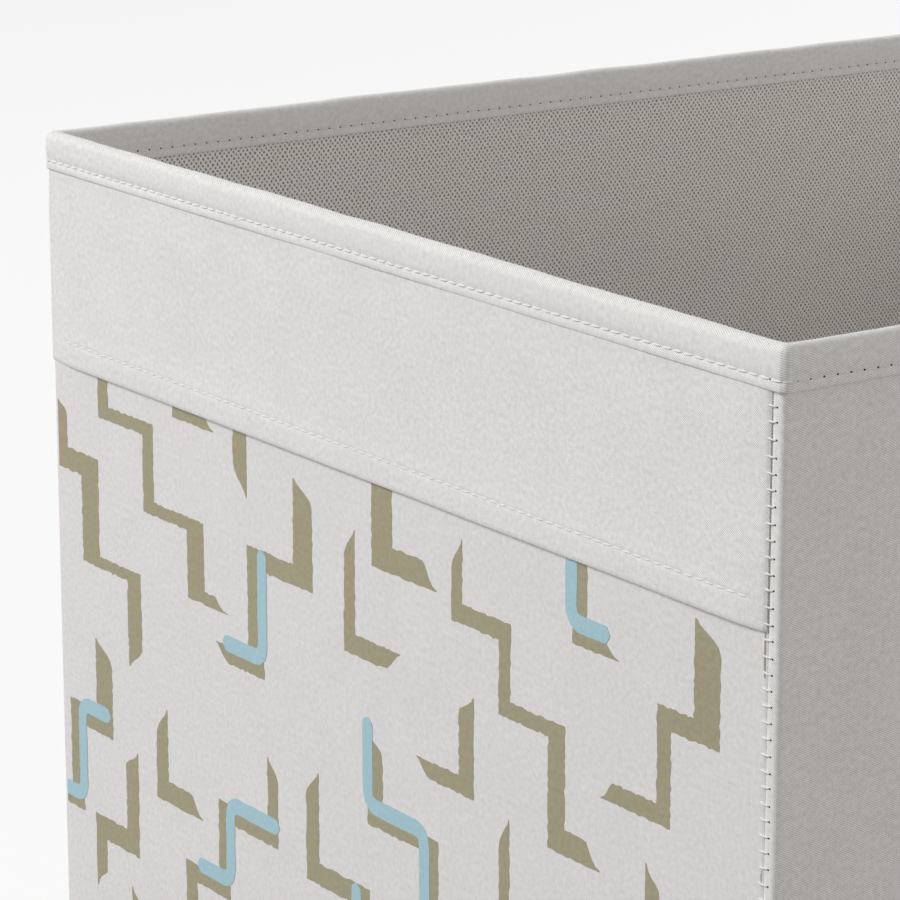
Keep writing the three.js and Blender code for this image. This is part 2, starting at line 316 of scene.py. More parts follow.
# %% Twill group
def twill_group():
    """Diagonal ribs crossed by fine yarn. Height and shade run from 0 to 1."""
    group, given, out = new_group(
        "twill_weave",
        [
            ("Vector", "NodeSocketVector", None),
            ("Pitch", "NodeSocketFloat", 0.00055),
            ("Slope", "NodeSocketFloat", 0.55),
        ],
        [("Height", "NodeSocketFloat"), ("Shade", "NodeSocketFloat")],
    )
    split = group.nodes.new("ShaderNodeSeparateXYZ")
    group.links.new(given.outputs["Vector"], split.inputs[0])
    across, up = split.outputs["X"], split.outputs["Y"]
    drift = maths(group, "MULTIPLY", noise_value(group, given.outputs["Vector"], 110.0), 1.6)
    diagonal = maths(group, "MULTIPLY_ADD", across, given.outputs["Slope"], up)
    rib_turn = maths(group, "ADD", maths(group, "DIVIDE", diagonal, given.outputs["Pitch"]), drift)
    rib = maths(group, "SINE", maths(group, "MULTIPLY", rib_turn, 2 * math.pi))
    yarn_turn = maths(group, "DIVIDE", across, maths(group, "MULTIPLY", given.outputs["Pitch"], 0.8))
    yarn = maths(group, "SINE", maths(group, "MULTIPLY", yarn_turn, 2 * math.pi))
    mix = maths(group, "ADD", maths(group, "MULTIPLY", rib, 0.38), maths(group, "MULTIPLY", yarn, 0.12))
    height = maths(group, "ADD", mix, 0.5)
    slub = maths(group, "MULTIPLY", noise_value(group, given.outputs["Vector"], 700.0, 3.0), 0.55)
    cloud = maths(group, "MULTIPLY", noise_value(group, given.outputs["Vector"], 60.0, 3.0), 0.12)
    uneven = maths(group, "ADD", slub, cloud)
    group.links.new(height, out.inputs["Height"])
    group.links.new(maths(group, "MULTIPLY_ADD", height, 0.65, uneven), out.inputs["Shade"])
    return group


twill = twill_group()


# %% Pressed-dot group
def dotted_group():
    """Staggered pressed dots of a bonded lining. Height is low in the dots."""
    group, given, out = new_group(
        "pressed_dots",
        [("Vector", "NodeSocketVector", None), ("Pitch", "NodeSocketFloat", 0.0016)],
        [("Height", "NodeSocketFloat"), ("Shade", "NodeSocketFloat")],
    )
    wobble = group.nodes.new("ShaderNodeTexNoise")
    wobble.inputs["Scale"].default_value = 420.0
    wobble.inputs["Detail"].default_value = 1.0
    group.links.new(given.outputs["Vector"], wobble.inputs["Vector"])
    moved = group.nodes.new("ShaderNodeVectorMath")
    moved.operation = "MULTIPLY_ADD"
    group.links.new(wobble.outputs["Color"], moved.inputs[0])
    moved.inputs[1].default_value = (0.0009, 0.0009, 0)
    group.links.new(given.outputs["Vector"], moved.inputs[2])
    split = group.nodes.new("ShaderNodeSeparateXYZ")
    group.links.new(moved.outputs[0], split.inputs[0])
    turn = maths(group, "DIVIDE", 2 * math.pi, given.outputs["Pitch"])
    across = maths(group, "COSINE", maths(group, "MULTIPLY", split.outputs["X"], turn))
    turn_up = maths(group, "MULTIPLY", turn, 0.8)
    up = maths(group, "COSINE", maths(group, "MULTIPLY", split.outputs["Y"], turn_up))
    product = maths(group, "MULTIPLY", across, up)
    dot = group.nodes.new("ShaderNodeMapRange")
    dot.interpolation_type = "SMOOTHSTEP"
    dot.inputs["From Min"].default_value = 0.05
    dot.inputs["From Max"].default_value = 0.75
    dot.inputs["To Min"].default_value = 1.0
    dot.inputs["To Max"].default_value = 0.0
    group.links.new(product, dot.inputs["Value"])
    fibre = maths(group, "MULTIPLY", noise_value(group, given.outputs["Vector"], 1300.0, 3.0), 0.35)
    height = maths(group, "MULTIPLY_ADD", dot.outputs["Result"], 0.8, fibre)
    group.links.new(height, out.inputs["Height"])
    group.links.new(maths(group, "MINIMUM", height, 1.0), out.inputs["Shade"])
    return group


pressed_dots = dotted_group()


# %% Cloth materials
def cloth_material(name, dark, light, group, bump, pitch, roughness=0.85, sheen=0.15, slope=0.55):
    """A cloth whose colour runs between two shades with the weave's shade."""
    material = bpy.data.materials.new(name)
    material.use_nodes = True
    tree = material.node_tree
    shader = tree.nodes["Principled BSDF"]
    shader.inputs["Roughness"].default_value = roughness
    shader.inputs["Sheen Weight"].default_value = sheen
    shader.inputs["Specular IOR Level"].default_value = 0.25
    uv = tree.nodes.new("ShaderNodeUVMap")
    uv.uv_map = "cloth"
    weave = tree.nodes.new("ShaderNodeGroup")
    weave.node_tree = group
    weave.inputs["Pitch"].default_value = pitch
    if "Slope" in weave.inputs:
        weave.inputs["Slope"].default_value = slope
    tree.links.new(uv.outputs["UV"], weave.inputs["Vector"])
    ramp = tree.nodes.new("ShaderNodeMix")
    ramp.data_type = "RGBA"
    ramp.inputs["A"].default_value = dark
    ramp.inputs["B"].default_value = light
    tree.links.new(weave.outputs["Shade"], ramp.inputs["Factor"])
    tree.links.new(ramp.outputs["Result"], shader.inputs["Base Color"])
    relief = tree.nodes.new("ShaderNodeBump")
    relief.inputs["Distance"].default_value = bump
    relief.inputs["Strength"].default_value = 1.0
    tree.links.new(weave.outputs["Height"], relief.inputs["Height"])
    tree.links.new(relief.outputs["Normal"], shader.inputs["Normal"])
    return material


TWILL_PITCH = 0.55 * MM
TWILL_RELIEF = 0.02 * MM
LINING_RELIEF = 0.2 * MM


def twill_cloth(name, dark, light, pitch=TWILL_PITCH):
    return cloth_material(name, linear(*dark), linear(*light), twill, TWILL_RELIEF, pitch)


plain_cloth = twill_cloth("plain_cloth", (178, 176, 173), (255, 254, 252))
printed_ground = twill_cloth("printed_ground", (186, 183, 183), (250, 247, 246))
olive_ink = twill_cloth("olive_ink", (128, 122, 92), (184, 177, 148))
blue_ink = twill_cloth("blue_ink", (142, 180, 192), (184, 218, 228))
tape_cloth = twill_cloth("zip_tape_cloth", (176, 174, 170), (236, 234, 230), 0.7 * MM)
lining_cloth = cloth_material(
    "lining_cloth", linear(110, 106, 102), linear(247, 243, 239), pressed_dots, LINING_RELIEF, 1.6 * MM,
    roughness=0.95, sheen=0.05,
)
print("cloths:", [m.name for m in bpy.data.materials if m.name.endswith(("cloth", "ink", "ground"))])


# %% Thread, painted needle-hole shade, board, plastic and metal
def plain_material(name, colour, roughness, metallic=0.0, grain=0.0, grain_scale=400.0):
    """A simple finish with a little grain in its colour and relief."""
    material = bpy.data.materials.new(name)
    material.use_nodes = True
    tree = material.node_tree
    shader = tree.nodes["Principled BSDF"]
    shader.inputs["Metallic"].default_value = metallic
    shader.inputs["Roughness"].default_value = roughness
    where = tree.nodes.new("ShaderNodeTexCoord")
    speck = noise_value(tree, where.outputs["Object"], grain_scale, 4.0)
    tone = tree.nodes.new("ShaderNodeMix")
    tone.data_type = "RGBA"
    tone.inputs["A"].default_value = tuple(c * (1 - grain) for c in colour[:3]) + (1,)
    tone.inputs["B"].default_value = colour
    tree.links.new(speck, tone.inputs["Factor"])
    tree.links.new(tone.outputs["Result"], shader.inputs["Base Color"])
    relief = tree.nodes.new("ShaderNodeBump")
    relief.inputs["Distance"].default_value = 0.02 * MM
    tree.links.new(speck, relief.inputs["Height"])
    tree.links.new(relief.outputs["Normal"], shader.inputs["Normal"])
    return material


thread = plain_material("sewing_thread", linear(240, 239, 236), 0.5, grain=0.12, grain_scale=2500.0)
# Painted shade: a near-black finish that stands for the shadow inside a needle hole.
hole_shadow_paint = plain_material("hole_shadow_paint", linear(52, 48, 44), 0.9, grain=0.3)
board = plain_material("grey_board", linear(168, 150, 122), 0.95, grain=0.25)
coil_plastic = plain_material("zip_coil_plastic", linear(226, 224, 220), 0.35, grain=0.05)
zip_metal = plain_material("zip_metal", linear(190, 190, 188), 0.3, metallic=1.0, grain=0.1)

# %% [markdown]
# ## Making sheets
# Flat cloth over board barely moves, so it isn't simulated. Each sheet is a grid of points
# laid on the wall, with a UV map in metres, made solid inwards by Solidify. The grid runs
# round the corner at the left end of each wall.

# %% Sheet helpers
def only(piece):
    """Make this the one selected object."""
    bpy.ops.object.select_all(action="DESELECT")
    piece.select_set(True)
    bpy.context.view_layer.objects.active = piece


def finish_mesh(piece, modifiers=(), angle=50):
    """Apply modifiers given as (kind, settings), and shade the piece smooth."""
    only(piece)
    for kind, settings in modifiers:
        modifier = piece.modifiers.new(kind.lower(), kind)
        for key, value in settings.items():
            setattr(modifier, key, value)
        bpy.ops.object.modifier_apply(modifier=modifier.name)
    bpy.ops.object.shade_smooth_by_angle(angle=math.radians(angle))
    return piece


def new_piece(name, points, faces, material, uv=None):
    mesh = bpy.data.meshes.new(name)
    mesh.from_pydata([tuple(p) for p in points], [], faces)
    if uv is not None:
        layer = mesh.uv_layers.new(name="cloth")
        index = np.empty(len(mesh.loops), int)
        mesh.loops.foreach_get("vertex_index", index)
        layer.data.foreach_set("uv", np.array(uv, float)[index].ravel())
    mesh.materials.append(material)
    piece = bpy.data.objects.new(name, mesh)
    bpy.context.scene.collection.objects.link(piece)
    return piece


def grid_faces(rows, columns, flip=False, closed=False):
    faces = []
    for j in range(rows if closed else rows - 1):
        for i in range(columns - 1):
            a, b = j * columns + i, (j + 1) % rows * columns + i
            quad = (a, a + 1, b + 1, b)
            faces.append(quad[::-1] if flip else quad)
    return faces


def grid_sheet(name, grid, material, thickness=CLOTH, flip=False, heights=None):
    """A closed sheet of cloth whose showing face is the grid: rows go up, columns to the right."""
    across = lengths(grid[len(grid) // 2])
    if heights is None:
        heights = lengths([row[len(row) // 2] for row in grid])
    uv = [(a, h) for h in heights for a in across]
    points = [p for row in grid for p in row]
    piece = new_piece(name, points, grid_faces(len(grid), len(grid[0]), flip), material, uv)
    finish_mesh(piece, [("SOLIDIFY", {"thickness": thickness, "offset": -1.0})])
    piece["cut"] = (across[-1], heights[-1])
    return piece


def declare(stands_for=()):
    """Hide the frame's solids that a sheet stands for.

    A strip narrower than 10 mm is declared 10 mm wide, with its own true area.
    """
    if stands_for:
        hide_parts(*stands_for)


def smooth(t):
    t = min(max(t, 0.0), 1.0)
    return t * t * (3 - 2 * t)


def slack(side, s, z, amount=0.16 * MM):
    """How far a wall's cloth stands off its board, fading out towards the corners."""
    half = SIDES[side][1]
    fade = smooth((half - CORNER - abs(s)) / 0.03)
    seed = 3.1 + SIDES[side][0] * 5.3
    return fade * (wave((s, z, seed), 0.055, amount) + wave((s, z, seed + 9), 0.02, amount * 0.3))


def groove(side, station):
    """Dip of the cloth where its edge is sewn to the next piece, SEAM in from a corner."""
    kind, end, value = station
    half = SIDES[side][1]
    if kind == "line":
        distance = abs(half - SEAM - value)
    elif kind == "next":
        distance = abs(value - SEAM)
    else:
        return 0.0
    return 0.22 * MM * math.exp(-((distance / (0.5 * MM)) ** 2))


def skin(side, station, z, lift=0.0):
    """A point on the wall's outer cloth, lifted off it by lift."""
    rise = slack(side, station[2], z) if station[0] == "line" else 0.0
    return path(side, station, groove(side, station) - lift - rise, z)


# %% [markdown]
# ## Outer cloth
# One panel to a wall. Its left edge is turned round the corner and its right edge stops 4 mm
# short of the next corner, where the neighbour's turned edge begins. The two edges are sewn
# down into a shallow groove. At the rear right corner the bin comes apart into two leaves when
# it folds, so the turned edge there is a strip of its own.

# %% Outer cloth panels
GAP = 0.04 * MM
turned = [SEAM - d * MM - GAP for d in (0, 0.2, 0.45, 0.8, 1.3)]
sewn = [CORNER] + [SEAM + d * MM + GAP for d in (2.2, 1.3, 0.8, 0.45, 0.2, 0)]
panel_top = hem_z + 6 * MM
for side, (_, half, _) in SIDES.items():
    left_end = "mitre" if side == "rear" else turned
    row = stations(half, left_end, sewn, 4 * MM)
    bottom = 0.9 * MM if side == "right" else wall_z
    levels = list(steps(bottom, panel_top, 4 * MM))
    grid = [[skin(side, st, z) for st in row] for z in levels]
    cloth = printed_ground if side in BANDED else plain_cloth
    panel = grid_sheet(side + "_cloth", grid, cloth)
    solids = [side + "_outer_fabric"]
    if side != "rear":
        solids.append({"front": "left", "right": "front", "left": "rear"}[side] + "_seam_edge")
    finish = "printed_cloth" if side in BANDED else "plain_cloth"
    declare(solids)
    carry(panel, side)
    print(panel.name, [round(v * 1000) for v in panel["cut"]], "mm,", len(panel.data.polygons), "faces")

# %% Turned edge at the open corner
half = SIDES["right"][1]
edge_row = [("line", 0, half - d) for d in turned] + [("arc", 1, a) for a in np.linspace(0, math.pi / 4, 5)]
grid = [[skin("right", st, z) for st in edge_row] for z in steps(0.9 * MM, panel_top, 4 * MM)]
edge = grid_sheet("rear_right_turned_edge", grid, plain_cloth)
declare(["right_seam_edge"])
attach(edge, "right_wall")
print(edge.name, [round(v * 1000, 1) for v in edge["cut"]], "mm")

# %% [markdown]
# ## Closed ends
# Where the bin comes apart into its two leaves, each wall's end is closed by a narrow strip of
# cloth, which covers the edge of the board. The two strips meet face to face when the bin stands.

# %% End strips at the open corner
for side, end in (("right", 1), ("rear", -1)):
    half = SIDES[side][1]
    grid = []
    for z in steps(wall_z, panel_top, 8 * MM):
        depths = [u * MM for u in (0.45, 0.7, 1.2, 1.8, 2.4, 2.9)]
        row = [to_frame(side, end * (half - u - 0.04 * MM), u, z) for u in depths]
        grid.append(row if end > 0 else row[::-1])
    strip = grid_sheet(side + "_end_strip", grid, plain_cloth, 0.25 * MM)
    declare()
    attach(strip, side + "_wall")
print("end strips", round(strip["cut"][0] * 1000, 1), "mm wide")

# %% [markdown]
# ## Lining
# The lining is a bonded cloth, glued to the boards and turned round three of the corners.

# %% Lining panels
lining_wrap = [CORNER, 6.5 * MM, 5.4 * MM, 4.6 * MM]
for side, (_, half, _) in SIDES.items():
    left_end = "mitre" if side == "rear" else lining_wrap
    right_end = "mitre" if side == "right" else [CORNER]
    row = stations(half, left_end, right_end, 8 * MM)
    grid = []
    for z in steps(wall_z, hem_z + 7 * MM, 8 * MM):
        grid.append([])
        for st in row:
            bump = slack(side, st[2], z + 0.7, 0.3 * MM) if st[0] == "line" else 0.0
            grid[-1].append(path(side, st, wall_depth + bump * 0.7, z))
    panel = grid_sheet(side + "_lining_cloth", grid, lining_cloth, flip=True)
    declare([side + "_lining"])
    carry(panel, side)
    print(panel.name, [round(v * 1000) for v in panel["cut"]], "mm")

# %% [markdown]
# ## Rim binding
# A strip of the plain cloth is folded over the top of each wall and sewn through, close to its
# lower edges. It is soft and slightly lumpy on top, and the thread pulls it in along the seam.
# The grid follows one profile, from the outside lower edge over the top to the inside one.

# %% Binding profile
TOP_R = (LEG_OUT + wall_depth + LEG_IN) / 2
TOP_U = (wall_depth + LEG_IN - LEG_OUT) / 2


def leg(sign, face):
    """Profile points up one leg: (depth, height above the hem, how far the thread pulls in)."""
    inward = sign * MM
    return [
        (face + 0.35 * inward, 0.0, 0),
        (face + 0.10 * inward, 0.12 * MM, 0),
        (face, 0.40 * MM, 0),
        (face - 0.05 * inward, 1.1 * MM, 0.1),
        (face - 0.02 * inward, 1.9 * MM, 0.5),
        (face + 0.10 * inward, 2.3 * MM, 0.9),
        (face + 0.16 * inward, 2.6 * MM, 1),
        (face + 0.10 * inward, 2.9 * MM, 0.9),
        (face - 0.02 * inward, 3.4 * MM, 0.5),
        (face - 0.10 * inward, 4.5 * MM, 0.15),
        (face - 0.12 * inward, 6.0 * MM, 0),
    ]


profile = [(u, hem_z + h, pull, 1) for u, h, pull in leg(1, -LEG_OUT)]
for angle in np.linspace(math.pi, 0, 13):
    profile.append((TOP_U + TOP_R * math.cos(angle), rim_z - TOP_R + TOP_R * math.sin(angle), 0, 0))
profile += [(u, hem_z + h, pull, -1) for u, h, pull in reversed(leg(-1, wall_depth + LEG_IN))]


def binding_point(side, station, profile_point, lift=0.0, phase=0.0):
    """A point of the binding. The phase counts stitches, and is whole at a needle hole."""
    u, z, pull, sign = profile_point
    p = path(side, station, u, z)
    lump = wave((p.x, p.y, 0.4), 0.022, 0.30 * MM) + wave((p.x, p.y, 2.4), 0.007, 0.10 * MM)
    high = smooth((z - rim_z + 7 * MM) / (6 * MM))
    drop = (0.25 * MM + lump) * high
    dimple = 0.14 * MM * pull * (0.5 + 0.5 * math.cos(2 * math.pi * phase))
    swell = wave((p.x, p.y, z * 2), 0.03, 0.16 * MM) * (1 - pull) * sign
    return path(side, station, u + sign * (dimple - lift) - swell, z - max(drop, 0.0))


RIM_OUT, RIM_IN = 6, len(profile) - 7
print("binding profile:", len(profile), "points,", round(2 * TOP_R * 1000, 1), "mm thick")

# %% Bindings
rim_wrap = [CORNER, 7.2 * MM, 6.4 * MM, 5.6 * MM, 5.1 * MM]
rim_rows = {}
for side, (_, half, _) in SIDES.items():
    left_end = "mitre" if side == "rear" else rim_wrap
    right_end = "mitre" if side == "right" else [CORNER]
    row = stations(half, left_end, right_end, STITCH / 4)
    phases, counts = {0: [0.0] * len(row)}, {}
    for sign, index in ((1, RIM_OUT), (-1, RIM_IN)):
        total = lengths([path(side, st, profile[index][0], 0) for st in row])
        counts[sign] = int(round(total[-1] / STITCH))
        phases[sign] = [t / total[-1] * counts[sign] for t in total]
    rim_rows[side] = (row, counts)
    grid = [[binding_point(side, st, q, phase=ph) for st, ph in zip(row, phases[q[3]])] for q in profile]
    binding = grid_sheet(side + "_binding", grid, plain_cloth, 0.55 * MM)
    declare([side + "_rim_binding"])
    carry(binding, side)
    print(binding.name, [round(v * 1000, 1) for v in binding["cut"]], "mm,", counts[1], "stitches")

# %% [markdown]
# ## Hand-hold bands
# A wide band crosses each printed wall under the binding and is sewn in at both ends. Only its
# lower edge, hemmed and stitched 7 mm up, is free, so a hand can go in behind it. It is made in
# two halves.

# %% Bands
# Heights of the rows above the lower edge, in millimetres: close together where the band bends.
band_rows = [0, 0.15, 0.5, 1.5, 3.0, 4.6, 5.8, 6.5, 7.0, 7.5, 8.2, 9.5]
band_rows += [12, 16, 21, 27, 33, 39, 44, 48, 51, 53.5, 55.4, 56.6]


def band_out(side, s, height):
    """How far the band's face stands off the wall, at a height above its lower edge."""
    half = SIDES[side][1]
    edge_in = 0.30 * MM * math.exp(-((height / (0.22 * MM)) ** 2))
    seam = 0.22 * MM * math.exp(-(((height - BAND_SEAM) / (0.55 * MM)) ** 2))
    dimple = 0.5 + 0.5 * math.cos(2 * math.pi * s / STITCH)
    hem = 0.20 * MM * (1 - smooth((height - 7.5 * MM) / (2 * MM)))
    ends = smooth((half - abs(s)) / (14 * MM))
    soft = wave((s, height, 4.4 + SIDES[side][0]), 0.04, 0.35 * MM) * ends
    free = 0.45 * MM * ends * (1 - smooth(height / (35 * MM)))
    sewn_end = 0.45 * MM * math.exp(-(((half - SEAM - s) / (0.7 * MM)) ** 2))
    tucked = 0.22 * MM * smooth((height - 44 * MM) / (9 * MM))
    base = 0.57 * MM + (BAND_OUT - 0.57 * MM) * ends - sewn_end - tucked
    return base + hem * ends + soft + free - edge_in - seam * (0.55 + 0.45 * dimple) * ends


def band_point(side, station, height, lift=0.0):
    s = station[2] if station[0] == "line" else station[1] * SIDES[side][1]
    return path(side, station, -band_out(side, s, height) - lift, band_z + height)


def bow(piece):
    """Fix the piece's place in the bin's frame."""
    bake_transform(piece)


band_sewn = [CORNER] + [SEAM + d * MM for d in (2.5, 1.4, 0.8, 0.5, 0.3, 0.15)]
for side in BANDED:
    half = SIDES[side][1]
    whole = stations(half, "mitre", band_sewn, STITCH / 4)
    middle = min(range(len(whole)), key=lambda i: abs(whole[i][2]) if whole[i][0] == "line" else 1)
    for part, row in (("left", whole[: middle + 1]), ("right", whole[middle:])):
        grid = [[band_point(side, st, h * MM) for st in row] for h in band_rows]
        band = grid_sheet(f"{side}_band_{part}_half", grid, plain_cloth, 0.55 * MM)
        declare([side + "_handle_band"])
        end = -1 if part == "left" else 1
        bow(band)
    print(side, "band", [round(v * 1000, 1) for v in band["cut"]], "mm a half")

# %% [markdown]
# ## Stitches
# One stitch is a short length of thread that dives into the cloth at both ends. It is shaped
# once from a ball, and every seam is a row of copies of its mesh, set in the seam's own
# direction. Each row goes with the cloth that it holds. Small dark blobs of painted shade stand
# for the shadow in the needle holes, where the thread is pulled tight on the side faces.

# %% One stitch and one painted needle-hole shadow
def shaped_ball(name, segments, rings, shape):
    """Points and faces of a ball whose points are moved by shape."""
    bpy.ops.object.select_all(action="DESELECT")
    bpy.ops.mesh.primitive_uv_sphere_add(
        segments=segments, ring_count=rings, radius=0.5, rotation=(0, math.pi / 2, 0)
    )
    ball = bpy.context.object
    ball.name = name
    bpy.ops.object.transform_apply(rotation=True)
    bpy.ops.object.mode_set(mode="EDIT")
    bpy.ops.mesh.select_all(action="SELECT")
    bpy.ops.transform.resize(value=shape, center_override=(0, 0, 0))
    bpy.ops.object.mode_set(mode="OBJECT")
    points = np.array([v.co for v in ball.data.vertices], float)
    faces = [tuple(p.vertices) for p in ball.data.polygons]
    bpy.data.objects.remove(ball)
    return points, faces


STITCH_POINTS, STITCH_FACES = shaped_ball("stitch", 8, 6, (3.6 * MM, 0.56 * MM, 0.50 * MM))
lying = STITCH_POINTS[:, 0] / (1.75 * MM)
STITCH_POINTS[:, 2] -= 0.30 * MM * lying ** 4
# A small dark blob of painted shade: the shadow in one needle hole.
HOLE_SHADOW_POINTS, HOLE_SHADOW_FACES = shaped_ball("hole_shadow_paint", 6, 4, (0.62 * MM, 0.5 * MM, 0.22 * MM))
print("stitch:", len(STITCH_FACES), "faces")


# %% Rows of stitches
def copies(name, places, points, faces, material, vary=0.06):
    """One mesh of many copies. A place is (point, way along, way out)."""
    count = len(points)
    all_points = np.empty((count * len(places), 3))
    all_faces = []
    for k, (at, way, out) in enumerate(places):
        side_way = out.cross(way).normalized()
        tilt = random.uniform(-vary, vary)
        way = (way + side_way * tilt).normalized()
        side_way = out.cross(way).normalized()
        turn = np.array((way, side_way, out))
        size = np.array((1 + random.uniform(-vary, vary), 1 + random.uniform(-vary, vary), 1.0))
        all_points[k * count:(k + 1) * count] = (points * size) @ turn + np.array(at)
        all_faces += [tuple(i + k * count for i in face) for face in faces]
    piece = new_piece(name, all_points, all_faces, material)
    finish_mesh(piece, angle=80)
    return piece


def seam_places(points, outs, count):
    """Places of count equal stitches along a row of points with outward directions."""
    total = lengths(points)
    marks = (np.arange(count) + 0.5) * total[-1] / count
    places = []
    for mark in marks:
        i = min(int(np.searchsorted(total, mark)), len(points) - 1)
        i = max(i, 1)
        t = (mark - total[i - 1]) / max(total[i] - total[i - 1], 1e-9)
        at = points[i - 1].lerp(points[i], t)
        before, after = points[max(i - 2, 0)], points[min(i + 1, len(points) - 1)]
        way = (after - before).normalized()
        out = outs[i - 1].lerp(outs[i], t)
        out = (out - way * out.dot(way)).normalized()
        places.append((at, way, out))
    return places


stitch_total = 0
for side, (row, counts) in rim_rows.items():
    for name, index, sign in (("outer", RIM_OUT, 1), ("inner", RIM_IN, -1)):
        on, off = (
            [binding_point(side, st, profile[index], lift, phase=0.5) for st in row] for lift in (0.0, 1 * MM)
        )
        outs = [(b - a).normalized() for a, b in zip(on, off)]
        raised = [p + o * 0.10 * MM for p, o in zip(on, outs)]
        places = seam_places(raised, outs, counts[sign])
        run = copies(f"{side}_rim_{name}_stitches", places, STITCH_POINTS, STITCH_FACES, thread)
        carry(run, side)
        stitch_total += len(places)
        # On the side walls, dark blobs of painted shade between the stitches stand for the shadow in the
        # needle holes.
        if side in ("right", "left"):
            ends = [
                (p.lerp(q, 0.5) - out * 0.16 * MM, way, out)
                for (p, way, out), (q, _, _) in zip(places, places[1:])
            ]
            holes = copies(f"{side}_rim_{name}_hole_shadows", ends, HOLE_SHADOW_POINTS, HOLE_SHADOW_FACES, hole_shadow_paint)
            carry(holes, side)
print("rim stitches:", stitch_total)

# %% Hem stitches of the bands
for side in BANDED:
    half = SIDES[side][1]
    for part, end in (("left", -1), ("right", 1)):
        places = []
        for k in range(int((half - 9 * MM) / STITCH)):
            s = end * (k + 0.5) * STITCH
            on, off = (band_point(side, ("line", 0, s), BAND_SEAM, lift) for lift in (-0.06 * MM, 1 * MM))
            places.append((on, direction(side, 1, 0), (off - on).normalized()))
        run = copies(f"{side}_band_{part}_stitches", places, STITCH_POINTS, STITCH_FACES, thread)
        bow(run)
        stitch_total += len(places)

# %% Stitches across the corner grooves
NEXT = {"front": "right", "right": "rear", "rear": "left", "left": "front"}
for side, (_, half, _) in SIDES.items():
    places, ends = [], []
    for k in range(int((hem_z - 3.3 * MM - wall_z) / STITCH)):
        z = hem_z - 3.3 * MM - k * STITCH
        over_band = side in BANDED and z > band_z
        left_lift = band_out(side, half - 4.5 * MM, z - band_z) if over_band else 0.0
        a = path(side, ("line", 0, half - SEAM - 1.75 * MM), -left_lift - 0.14 * MM, z)
        b = path(side, ("line", 0, half - SEAM + 1.65 * MM), -0.10 * MM, z + random.uniform(-0.25, 0.25) * MM)
        out = direction(side, 0, -1)
        way = (b - a).normalized()
        out = (out - way * out.dot(way)).normalized()
        places.append(((a + b) / 2, way, out))
        # The shadow in the needle hole past each stitch's end is painted, as a dark blob.
        ends.append((b + way * 0.05 * MM - out * 0.06 * MM, way, out))
    for name, spots, points, faces, finish in (
        ("stitches", places, STITCH_POINTS, STITCH_FACES, thread),
        ("hole_shadows", ends, HOLE_SHADOW_POINTS, HOLE_SHADOW_FACES, hole_shadow_paint),
    ):
        run = copies(f"{side}_corner_{name}", spots, points, faces, finish)
        if NEXT[side] == "rear":
            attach(run, "right_wall")
        else:
            carry(run, NEXT[side])
    stitch_total += len(places)
print("stitches in all:", stitch_total)

# %% [markdown]
# ## Printed lines
# The front and rear carry a printed pattern of stepped lines: brush-like olive strokes with
# rough edges, and an even pale blue line that runs beside some of them. The pattern is laid out
# by a rule and not drawn: each stroke starts at a free place and goes down and across by turns.
# A stroke is a thin ribbon just above the cloth that shares the cloth's UV, so the same twill
# runs through the ink.

# %% Stroke layout
INK_LIFT = 0.06 * MM


def stepped_line(start, way, runs):
    """Corner points of a line that goes down and across by turns."""
    points = [start]
    for k, length in enumerate(runs):
        x, z = points[-1]
        points.append((x + way * length, z) if k % 2 else (x, z - length))
    return points


def sample(points, step=4 * MM, least=2):
    """Points no more than about a step apart along a flat line, at least so many to a stretch."""
    out = []
    for (x0, z0), (x1, z1) in zip(points, points[1:]):
        n = max(least, int(math.hypot(x1 - x0, z1 - z0) / step))
        out += [(x0 + (x1 - x0) * k / n, z0 + (z1 - z0) * k / n) for k in range(n)]
    return out + [points[-1]]


def layout(half, low, high, draw):
    """Stepped lines that fill a panel without touching: (points, run widths, blue line or None)."""
    lines, taken = [], []
    for attempt in range(2500):
        way = 1 if draw.random() < 0.6 else -1
        start = (draw.uniform(-half - 10 * MM, half), draw.uniform(low + 5 * MM, high + 30 * MM))
        count = draw.choice((4, 5, 6, 7)) if attempt < 1200 else draw.choice((2, 3, 4))
        runs = [draw.uniform(19, 31) * MM if k % 2 == 0 else draw.uniform(15, 26) * MM for k in range(count)]
        points = stepped_line(start, way, runs)
        spots = sample(points)
        room = 13 * MM
        if any(abs(x - a) < room and abs(z - b) < room for x, z in spots[::2] for a, b in taken):
            continue
        widths = [
            draw.uniform(4.5, 9.5) * MM if k % 2 == 0 else draw.uniform(3.0, 7.0) * MM for k in range(count)
        ]
        blue = None
        if len(lines) % 3 == 1 and count > 3:
            first = draw.choice((0, 1, 2))
            part = points[first:first + draw.choice((4, 5, 6))]
            blue = [(x - way * 3.4 * MM, z + 3.2 * MM) for x, z in part]
        lines.append((points, widths, blue))
        taken += spots
    return lines


print("stroke rule ready, ink", round(INK_LIFT * 1e6), "micrometres above the cloth")


